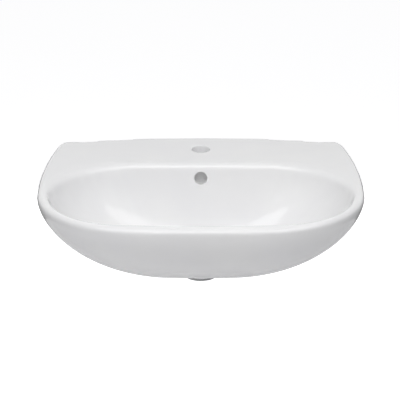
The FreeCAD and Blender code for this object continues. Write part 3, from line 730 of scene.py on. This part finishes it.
# %% Patterns shared by the finishes
def cloud(tree, size_mm, detail):
    """Noise on the object's own coordinates, whose patches are about a size across."""
    place = add_node(tree, "ShaderNodeTexCoord")
    return add_node(
        tree, "ShaderNodeTexNoise", {"Vector": place.outputs["Object"]}, scale=1 / (size_mm * MM),
        detail=detail, roughness=0.5)


def two_tones(tree, factor, first, second):
    """One tone in the low places of a pattern and another in the high ones."""
    ramp = add_node(tree, "ShaderNodeValToRGB", {"Fac": factor})
    ramp.color_ramp.elements[0].position = 0.35
    ramp.color_ramp.elements[1].position = 0.65
    ramp.color_ramp.elements[0].color = colour(first)
    ramp.color_ramp.elements[1].color = colour(second)
    return ramp.outputs["Color"]


def finish_with(tree, links, **settings):
    """The surface itself, and the material's way out."""
    shader = add_node(tree, "ShaderNodeBsdfPrincipled", links, **settings)
    add_node(tree, "ShaderNodeOutputMaterial", {"Surface": shader.outputs["BSDF"]})


def grained(name, tones, grain_mm, detail, depth_mm, relief, **settings):
    """A finish of two close tones in grains of a size, with a fine relief of the same grains."""
    finish, tree = new_material(name)
    grain = cloud(tree, grain_mm, detail).outputs["Fac"]
    tone = two_tones(tree, grain, *tones)
    bump = add_node(
        tree, "ShaderNodeBump", {"Height": grain}, strength=relief, distance=depth_mm * MM)
    finish_with(tree, {"Base Color": tone, "Normal": bump.outputs["Normal"]}, **settings)
    return finish


# %% [markdown]
# Glaze flows before it sets. It leaves waves a few centimetres long and only hundredths of a
# millimetre deep, which show as a slight wander in the edge of a reflection.

# %% Glazed china
GLAZE_PATCH_MM, GLAZE_WAVE_MM, GLAZE_WAVE_DEPTH_MM = 120.0, 45.0, 0.05

glaze, tree = new_material("white_glazed_china")
patches = cloud(tree, GLAZE_PATCH_MM, detail=2.0).outputs["Fac"]
tone = two_tones(tree, patches, "#EEEEEF", "#F1F1F1")
waves = cloud(tree, GLAZE_WAVE_MM, detail=1.0).outputs["Fac"]
bump = add_node(
    tree, "ShaderNodeBump", {"Height": waves}, strength=1.0, distance=GLAZE_WAVE_DEPTH_MM * MM)
wave = bump.outputs["Normal"]
finish_with(
    tree, {"Base Color": tone, "Normal": wave, "Coat Normal": wave}, roughness=0.6,
    specular_ior_level=0.0, coat_weight=1.0, coat_roughness=0.02, coat_ior=1.5)

# %% [markdown]
# Without its glaze, vitreous china is dull and finely grained. The true grain is much finer than a
# millimetre, so it is drawn coarser here, and it shows only close by.

# %% The body where it is bare
BARE_CHINA = dict(grain_mm=2.5, detail=6.0, depth_mm=0.15, relief=0.6, roughness=0.85)

ground_back = grained("ground_bare_china", ("#E2DED4", "#EBE8E0"), **BARE_CHINA)
raw_duct = grained("raw_duct_china", ("#E0E0E0", "#E6E6E6"), **BARE_CHINA)
# the outlet's bare end is drawn a darker grey than the bare body elsewhere
raw_end = grained("raw_outlet_china", ("#9C9C9E", "#A8A8A9"), **BARE_CHINA)

# %% [markdown]
# The glaze is wiped off where the piece is ground or stands in the kiln: on the wall face, and on
# the last few millimetres of the outlet's boss, which are drawn a darker grey than the rest. The
# glaze hardly reaches through the overflow hole, so its end stays raw too.

# %% Glaze everywhere but there
WIPED_HEIGHT, BOSS_MARGIN, RAW_MARGIN = 8.0, 1.0, 2.5
SQUARE_TO_WALL, NEAR_WALL_Y = 0.9, -1.2
BACK_SLOT, END_SLOT, DUCT_SLOT = 1, 2, 3


def in_duct(spot):
    """Whether a spot, in millimetres, lies in the overflow's duct or close beside it."""
    along = Vector((spot.y, spot.z)) - DUCT_START
    beside = abs(along.x * DUCT_DOWN.y - along.y * DUCT_DOWN.x)
    inside = abs(spot.x) < DUCT_WIDTH / 2 + RAW_MARGIN and beside < DUCT_GAP / 2 + RAW_MARGIN
    return inside and PORT_Z < spot.z < DUCT_START.y + RAW_MARGIN


china.data.materials.clear()
for finish in (glaze, ground_back, raw_end, raw_duct):
    china.data.materials.append(finish)
for face in china.data.polygons:
    spot = face.center / MM
    on_boss = math.hypot(spot.x, spot.y - OUTLET_Y) < BOSS_R + BOSS_MARGIN
    if face.normal.y > SQUARE_TO_WALL and spot.y > NEAR_WALL_Y:
        face.material_index = BACK_SLOT
    elif on_boss and spot.z < OUTLET_END_Z + WIPED_HEIGHT:
        face.material_index = END_SLOT
    elif in_duct(spot):
        face.material_index = DUCT_SLOT
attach(china, "root")
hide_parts("basin_body")

# %% [markdown]
# Moulded nylon takes the fine grain of its mould, which leaves it satin. Zinc plate grows in small
# crystals, which break its reflections a little. Both are drawn coarser than life, to show close by.

# %% The fixings' finishes
nylon_white = grained(
    "white_moulded_nylon", ("#E9E8E2", "#EFEEE9"), grain_mm=0.8, detail=3.0, depth_mm=0.03,
    relief=0.5, roughness=0.42, ior=1.53)
nylon_grey = grained(
    "grey_moulded_nylon", ("#8D9093", "#9A9DA0"), grain_mm=0.8, detail=3.0, depth_mm=0.04,
    relief=0.5, roughness=0.5, ior=1.53)
zinc = grained(
    "zinc_plated_steel", ("#BFC4CB", "#CCD0D6"), grain_mm=1.5, detail=4.0, depth_mm=0.02,
    relief=0.5, metallic=1.0, roughness=0.28)

# %% [markdown]
# ## Threads
# A thread is a ridge that climbs one pitch in each turn. On a stack of rings that is easy to say:
# the radius at a point depends on how far along it is and how far round, so each ring is a circle
# with one soft corner in it, turned a little further than the ring before.

# %% Rings round a line along the wall's depth
POINTS_ROUND = 48


def round_ring(x, y, radius_at):
    """A ring round a line along Y, whose radius is a number or depends on the angle."""
    ring = []
    for index in range(POINTS_ROUND):
        angle = 2 * math.pi * index / POINTS_ROUND
        radius = radius_at(angle) if callable(radius_at) else radius_at
        ring.append((x + radius * math.cos(angle), y, radius * math.sin(angle)))
    return ring


def threaded(crest, depth, pitch, y):
    """The radius of a thread at a place along it, as a function of the angle."""
    def radius_at(angle):
        phase = (y / pitch + angle / (2 * math.pi)) % 1.0
        return crest - depth * min(1.0, abs(4 * phase - 2) * 0.75)
    return radius_at


def hexagon(across_flats, limit):
    """The radius of a hexagon, no larger than a limit that rounds its corners off."""
    def radius_at(angle):
        turned = angle % (math.pi / 3) - math.pi / 6
        return min(across_flats / 2 / math.cos(turned), limit)
    return radius_at


# %% [markdown]
# ## The fixings
# Each side has the same five pieces: a plug in the wall, a hanger bolt screwed into it, a flanged
# nylon bush in the china's hole, a washer and a nut. Each is modelled once, at the left, and its copy
# is slid across to the right.

# %% One piece for both sides
LEFT_X = -FIXING_X
BEVELLED_ANGLE, SHARP_ANGLE = math.radians(40), math.radians(35)


def turned_piece(name, line, closed=False):
    """A turned piece at the left fixing, from places along it and the radius at each."""
    rings = [round_ring(LEFT_X, y, radius) for y, radius in line]
    return extrude_rings(name, rings + rings[:1] if closed else rings, closed)


def both_sides(piece, node, material, bevel_mm=0.0):
    """Finishes a piece made for the left side and slides a copy of it to the right."""
    if bevel_mm:
        apply_modifier(
            piece, "BEVEL", width=bevel_mm * MM, segments=2, limit_method="ANGLE",
            angle_limit=BEVELLED_ANGLE)
    only(piece)
    bpy.ops.object.shade_smooth_by_angle(angle=SHARP_ANGLE)
    piece.data.materials.append(material)
    bpy.ops.object.duplicate()
    twin = bpy.context.active_object
    bpy.ops.transform.translate(value=(2 * FIXING_X * MM, 0, 0))
    bpy.ops.object.transform_apply(location=True, rotation=False, scale=False)
    for side_name, item in (("left", piece), ("right", twin)):
        item.name = item.data.name = f"{side_name}_{node}_dressed"
        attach(item, "root")
        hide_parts(f"{side_name}_{node}")


# %% [markdown]
# The hanger bolt has a machine thread where the nut runs, a coarse wood-screw thread in the plug and
# a small hexagon stub at its outer end, for the key that turns it in.

# %% Hanger bolt
STUD_R, PITCH, THREAD_DEPTH = 5.0, 1.5, 0.85
SCREW_PITCH, SCREW_DEPTH, TIP_R = 4.0, 1.2, 0.5
STUD_END, STUD_TIP, SCREW_START, POINT_START = -74.0, 64.0, 4.0, 52.0
STUB_ACROSS_FLATS, STUB_LENGTH = 6.0, 5.0
STUB_CORNER, STUB_CHAMFER, STUD_CHAMFER = 0.1, 0.4, 1.0
TURN_STEPS = 6

stub_end = STUD_END - STUB_LENGTH
stub = hexagon(STUB_ACROSS_FLATS, STUB_ACROSS_FLATS / math.sqrt(3) - STUB_CORNER)
stud_line = [
    (stub_end, hexagon(STUB_ACROSS_FLATS, STUB_ACROSS_FLATS / 2)), (stub_end + STUB_CHAMFER, stub),
    (STUD_END, stub), (STUD_END, STUD_R - STUD_CHAMFER)]
y = STUD_END + STUD_CHAMFER
while y < SCREW_START:
    stud_line.append((y, threaded(STUD_R, THREAD_DEPTH, PITCH, y)))
    y += PITCH / TURN_STEPS
while y < POINT_START:
    stud_line.append((y, threaded(STUD_R, SCREW_DEPTH, SCREW_PITCH, y)))
    y += SCREW_PITCH / TURN_STEPS
stud_line += [(POINT_START, STUD_R - SCREW_DEPTH), (STUD_TIP, TIP_R)]
both_sides(turned_piece("stud", stud_line), "wall_stud", zinc)

# %% [markdown]
# The plug has barbs that grip the wall, and a slit that lets the screw spread it.

# %% Wall plug
PLUG_R, PLUG_BORE_R, PLUG_LENGTH, PLUG_BORE_END = 7.0, 5.1, 70.0, 67.0
MOUTH_CHAMFER, MOUTH_DEPTH, TIP_CHAMFER = 0.4, 0.6, 1.0
BARB_START, BARB_COUNT, BARB_PITCH, BARB_DEPTH, BARB_STEP = 20.0, 7, 6.0, 0.9, 0.6
BARB_END = BARB_START + BARB_PITCH * BARB_COUNT
SLIT_SIZE, SLIT_Y = (20.0, 40.0, 1.6), 44.0

plug_line = [
    (PLUG_BORE_END, PLUG_BORE_R), (MOUTH_DEPTH, PLUG_BORE_R), (0.0, PLUG_BORE_R + MOUTH_CHAMFER),
    (0.0, PLUG_R - MOUTH_CHAMFER), (MOUTH_CHAMFER, PLUG_R)]
for barb in range(BARB_COUNT):
    start = BARB_START + BARB_PITCH * barb
    plug_line += [(start, PLUG_R), (start + BARB_STEP, PLUG_R - BARB_DEPTH)]
plug_line += [
    (BARB_END, PLUG_R), (PLUG_LENGTH - TIP_CHAMFER, PLUG_R - TIP_CHAMFER),
    (PLUG_LENGTH, PLUG_R - 2 * TIP_CHAMFER)]
plug = turned_piece("plug", plug_line)
combine(plug, block("slit_cutter", SLIT_SIZE, (LEFT_X, SLIT_Y, 0.0)), "DIFFERENCE")
both_sides(plug, "wall_plug", nylon_grey)

# %% [markdown]
# Bush, washer and nut are turned parts. Each is a closed run of rings, round the outside and back
# through the bore. The edges of bush and washer are bevelled afterwards.

# %% Bush
BUSH_LENGTH, BUSH_R, BUSH_BORE_R, BUSH_BEVEL = 15.0, 10.7, 5.3, 0.8
FLANGE_THICKNESS, FLANGE_R = 4.0, 18.0
PLATE_FRONT_Y = -PLATE
BUSH_END_Y, FLANGE_Y = PLATE_FRONT_Y + BUSH_LENGTH, PLATE_FRONT_Y - FLANGE_THICKNESS

bush = turned_piece("bush", [
    (BUSH_END_Y, BUSH_BORE_R), (BUSH_END_Y, BUSH_R), (PLATE_FRONT_Y, BUSH_R),
    (PLATE_FRONT_Y, FLANGE_R), (FLANGE_Y, FLANGE_R), (FLANGE_Y, BUSH_BORE_R)], closed=True)
both_sides(bush, "flanged_bush", nylon_white, BUSH_BEVEL)

# %% Washer
WASHER_THICKNESS, WASHER_R, WASHER_BORE_R, WASHER_BEVEL = 2.5, 15.0, 5.25, 0.3
WASHER_Y = FLANGE_Y - WASHER_THICKNESS

washer = turned_piece("washer", [
    (FLANGE_Y, WASHER_BORE_R), (FLANGE_Y, WASHER_R), (WASHER_Y, WASHER_R),
    (WASHER_Y, WASHER_BORE_R)], closed=True)
both_sides(washer, "steel_washer", zinc, WASHER_BEVEL)

# %% [markdown]
# A nut's corners are turned off at 30 degrees. Where the chamfer has come down by a share of its
# fall, the hexagon is whole up to the same share of its corners.

# %% Nut
NUT_HEIGHT, NUT_ACROSS, NUT_BORE_R, NUT_COUNTERSINK = 8.0, 17.0, 5.1, 0.5
CHAMFER_SHARES = (0.0, 0.33, 0.67, 1.0)
NUT_Y = WASHER_Y - NUT_HEIGHT

corner = NUT_ACROSS / math.sqrt(3) - NUT_ACROSS / 2
fall = corner * math.tan(math.radians(30))
outlines = [(share, hexagon(NUT_ACROSS, NUT_ACROSS / 2 + corner * share)) for share in CHAMFER_SHARES]
nut_line = [(WASHER_Y, NUT_BORE_R + NUT_COUNTERSINK)]
nut_line += [(WASHER_Y - fall * share, outline) for share, outline in outlines]
nut_line += [(NUT_Y + fall * share, outline) for share, outline in reversed(outlines)]
nut_line += [
    (NUT_Y, NUT_BORE_R + NUT_COUNTERSINK), (NUT_Y + NUT_COUNTERSINK, NUT_BORE_R),
    (WASHER_Y - NUT_COUNTERSINK, NUT_BORE_R)]
both_sides(turned_piece("nut", nut_line, closed=True), "hex_nut", zinc)

# %% [markdown]
# ## Floor and backdrop
# The basin hangs in a white studio. The floor lies where it would be under a real basin: a wide
# sheet of white paper on grey boards, whose edge the glossy apron mirrors as a faint level line. To
# the camera all of it is white. The white behind it is the world, but only for the camera and for
# reflections: the light that falls on the china comes from a greyer sky, so that the white shapes
# keep their shading.

# %% White floor
FLOOR_Z_M, FLOOR_SIZE_M, PAPER_RADIUS_M = -0.73, 30.0, 1.3
FLOOR_LIFT = 0.6

floor_finish, tree = new_material("pale_floor")
path = add_node(tree, "ShaderNodeLightPath")
place = add_node(tree, "ShaderNodeTexCoord")
far = add_node(tree, "ShaderNodeVectorMath", {"Vector": place.outputs["Object"]}, operation="LENGTH")
beyond = add_node(tree, "ShaderNodeMath", {0: far.outputs["Value"]}, operation="GREATER_THAN")
beyond.inputs[1].default_value = PAPER_RADIUS_M
paper = add_node(tree, "ShaderNodeBsdfDiffuse", color=colour("#F2F2F3"))
boards = add_node(tree, "ShaderNodeBsdfDiffuse", color=colour("#505052"))
mirrored = add_node(
    tree, "ShaderNodeMath", {0: path.outputs["Is Glossy Ray"], 1: beyond.outputs[0]},
    operation="MULTIPLY")
lit = add_node(
    tree, "ShaderNodeMixShader",
    {0: mirrored.outputs[0], 1: paper.outputs[0], 2: boards.outputs[0]})
lift = add_node(tree, "ShaderNodeEmission", color=colour("#FFFFFF"), strength=FLOOR_LIFT)
white = add_node(tree, "ShaderNodeAddShader", {0: paper.outputs[0], 1: lift.outputs[0]})
choice = add_node(
    tree, "ShaderNodeMixShader",
    {0: path.outputs["Is Camera Ray"], 1: lit.outputs[0], 2: white.outputs[0]})
add_node(tree, "ShaderNodeOutputMaterial", {"Surface": choice.outputs[0]})

bpy.ops.object.select_all(action="DESELECT")
bpy.ops.mesh.primitive_plane_add(size=FLOOR_SIZE_M, location=(0, 0, FLOOR_Z_M))
floor = bpy.context.active_object
floor.name = "floor"
floor.data.materials.append(floor_finish)

# %% White backdrop, grey sky
SKY_LIGHT = 0.44

world = bpy.data.worlds.new("studio")
bpy.context.scene.world = world
world.use_nodes = True
tree = world.node_tree
tree.nodes.clear()
path = add_node(tree, "ShaderNodeLightPath")
seen = add_node(
    tree, "ShaderNodeMath",
    {0: path.outputs["Is Camera Ray"], 1: path.outputs["Is Transmission Ray"]},
    operation="MAXIMUM")
shown = add_node(
    tree, "ShaderNodeMath", {0: seen.outputs[0], 1: path.outputs["Is Glossy Ray"]},
    operation="MAXIMUM")
sky = add_node(tree, "ShaderNodeBackground", color=colour("#F8F8F9"), strength=SKY_LIGHT)
white = add_node(tree, "ShaderNodeBackground", color=colour("#FFFFFF"), strength=1.0)
choice = add_node(
    tree, "ShaderNodeMixShader", {0: shown.outputs[0], 1: sky.outputs[0], 2: white.outputs[0]})
add_node(tree, "ShaderNodeOutputWorld", {"Surface": choice.outputs[0]})

# %% [markdown]
# ## Light
# Two softboxes stand either side of the camera, the left one brighter. Three fills lift what they
# leave dark: one above for the deck, one low in front for the apron and one behind for the back.

# %% Softboxes and fills
BOWL_MIDDLE = Vector((0, -0.24, 0.0))
SOFTBOX_DISTANCE = 2.0


def softbox(name, place, size, watts):
    """A rectangular lamp at a place, in metres, that faces the middle of the bowl."""
    bpy.ops.object.light_add(type="AREA", location=place)
    lamp = bpy.context.active_object
    lamp.name = name
    lamp.data.shape = "RECTANGLE"
    lamp.data.size, lamp.data.size_y = size
    lamp.data.energy = watts
    lamp.rotation_euler = (BOWL_MIDDLE - Vector(place)).to_track_quat("-Z", "Y").to_euler()
    return lamp


def from_bowl(azimuth, elevation):
    """A place seen from the bowl: azimuth 0 is towards the camera, positive to the right."""
    turn, rise = math.radians(azimuth), math.radians(elevation)
    way = Vector((math.sin(turn) * math.cos(rise), -math.cos(turn) * math.cos(rise), math.sin(rise)))
    return BOWL_MIDDLE + way * SOFTBOX_DISTANCE


lamps = [
    softbox("softbox_right", from_bowl(34, 54), (1.7, 0.75), watts=8.3),
    softbox("softbox_left", from_bowl(-34, 54), (1.7, 0.75), watts=9.8),
    softbox("fill_above", (0, -1.2, 1.25), (1.6, 1.0), watts=4.0),
    softbox("fill_below", (-0.5, -0.9, -0.7), (1.6, 0.5), watts=1.8),
    softbox("fill_behind", (0, 2.0, -0.15), (2.0, 0.8), watts=8.0),
]
for lamp in lamps:
    lamp.visible_glossy = False

# %% [markdown]
# A lamp's size sets how soft its light is, and its mirror image may ask for another size or tone.
# So those lamps are kept out of reflections, and others that only reflections see stand in for
# them: two windows, whose lower edges draw the bright patches in the bowl. A dark card beyond each
# end gives the white flanks an edge against the white backdrop, as a photographer does with
# glassware.

# %% Windows and cards for the reflections
windows = [
    softbox("window_right", from_bowl(34, 42), (2.1, 1.05), watts=13.0),
    softbox("window_left", from_bowl(-27, 42), (1.7, 1.05), watts=12.5),
]
for window in windows:
    window.visible_diffuse = False

CARD_HEIGHT, CARD_DEPTH = 1.3, 2.4
CARD_X, CARD_Y, CARD_Z = 1.25, -0.3, -0.2
FADE_SCALE = (2.0, 2.0, 2.0)


def card(name, x, tone):
    """A card that fades out towards its edges, so that its mirror image has no hard outline.

    Its sheet is one unit wide before it is stretched, so at twice the scale the fade ends there.
    """
    finish, tree = new_material(name)
    place = add_node(tree, "ShaderNodeTexCoord")
    spread = add_node(
        tree, "ShaderNodeMapping", {"Vector": place.outputs["Object"]}, scale=FADE_SCALE)
    fade = add_node(
        tree, "ShaderNodeTexGradient", {"Vector": spread.outputs[0]}, gradient_type="SPHERICAL")
    dark = add_node(tree, "ShaderNodeBsdfDiffuse", color=colour(tone))
    clear = add_node(tree, "ShaderNodeBsdfTransparent")
    shader = add_node(
        tree, "ShaderNodeMixShader", {0: fade.outputs["Fac"], 1: clear.outputs[0], 2: dark.outputs[0]})
    add_node(tree, "ShaderNodeOutputMaterial", {"Surface": shader.outputs[0]})
    bpy.ops.object.select_all(action="DESELECT")
    bpy.ops.mesh.primitive_plane_add(
        size=1.0, location=(x, CARD_Y, CARD_Z), rotation=(0, math.pi / 2, 0))
    sheet = bpy.context.active_object
    sheet.scale = (CARD_HEIGHT, CARD_DEPTH, 1.0)
    sheet.name = name
    sheet.data.materials.append(finish)
    for ray in ("camera", "diffuse", "shadow", "transmission"):
        setattr(sheet, f"visible_{ray}", False)


card("card_left", -CARD_X, "#303032")
card("card_right", CARD_X, "#101012")

# %% [markdown]
# ## Camera
# The camera stands 2.57 m away and looks down by 20.6 degrees. A long lens, about 125 mm on a 36 mm
# sensor, keeps the ellipses of rim and holes as flat as they are seen from there.

# %% Camera
AIM = Vector((0, -0.2566, 0.0409))
LOOK_DOWN = math.radians(20.56)
DISTANCE = 2.5657
LENS, SENSOR_WIDTH = 125.375, 36.0
SHIFT_X = -0.002

back = Vector((0, -math.cos(LOOK_DOWN), math.sin(LOOK_DOWN)))
bpy.ops.object.camera_add(location=AIM + back * DISTANCE)
camera = bpy.context.active_object
camera.rotation_euler = (-back).to_track_quat("-Z", "Y").to_euler()
camera.data.lens = LENS
camera.data.sensor_width = SENSOR_WIDTH
camera.data.shift_x = SHIFT_X
bpy.context.scene.camera = camera
bpy.context.scene.view_settings.view_transform = "Standard"
